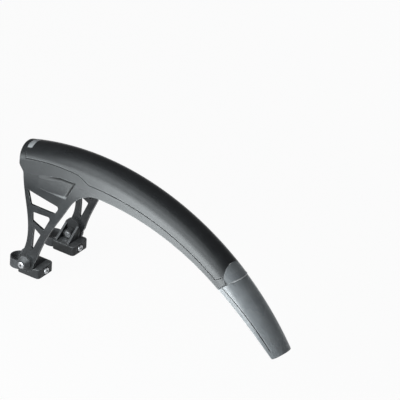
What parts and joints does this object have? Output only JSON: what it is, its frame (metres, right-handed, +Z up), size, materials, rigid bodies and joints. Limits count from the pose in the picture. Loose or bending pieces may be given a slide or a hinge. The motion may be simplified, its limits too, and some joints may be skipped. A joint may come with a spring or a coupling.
{
  "type": "bicycle mudguard",
  "caption": "Clip-on bicycle mudguard: an arched blade on two slotted legs, a clipped-on tail flap, and swivelling strap feet that clamp to the stays or the fork legs.",
  "frame": {"origin": "on the floor under the middle of the length, on the plane of symmetry", "axes": "+X from the front end towards the tail, +Y across the guard to the rider's right, +Z up"},
  "size_m": [0.425, 0.1326, 0.1791],
  "materials": {
    "blade_plastic": "satin",
    "grey_plastic": "satin",
    "foot_plastic": "matt",
    "strap_rubber": "matt",
    "steel": "bright zinc"
  },
  "bodies": {
    "guard": {"blade": "blade_plastic", "tail_flap": "grey_plastic", "end_plug": "grey_plastic", "left_pivot_cone": "foot_plastic", "right_pivot_cone": "foot_plastic"},
    "left_foot": {"left_base": "foot_plastic", "left_strap": "strap_rubber", "left_strap_carriage": "foot_plastic", "left_tension_nut": "steel", "left_tension_washer": "steel", "left_tension_screw": "steel", "left_pivot_screw": "steel", "left_pivot_nut": "steel"},
    "right_foot": {"right_base": "foot_plastic", "right_strap": "strap_rubber", "right_strap_carriage": "foot_plastic", "right_tension_nut": "steel", "right_tension_washer": "steel", "right_tension_screw": "steel", "right_pivot_screw": "steel", "right_pivot_nut": "steel"}
  },
  "joints": [
    {"name": "left_foot_pivot", "type": "hinge", "parent": "guard", "child": "left_foot", "pos_m": [-0.16968, -0.0504, 0.02], "axis": [0, 1, 0], "range_deg": [-30, 30]},
    {"name": "right_foot_pivot", "type": "hinge", "parent": "guard", "child": "right_foot", "pos_m": [-0.16968, 0.0504, 0.02], "axis": [0, 1, 0], "range_deg": [-30, 30]}
  ]
}
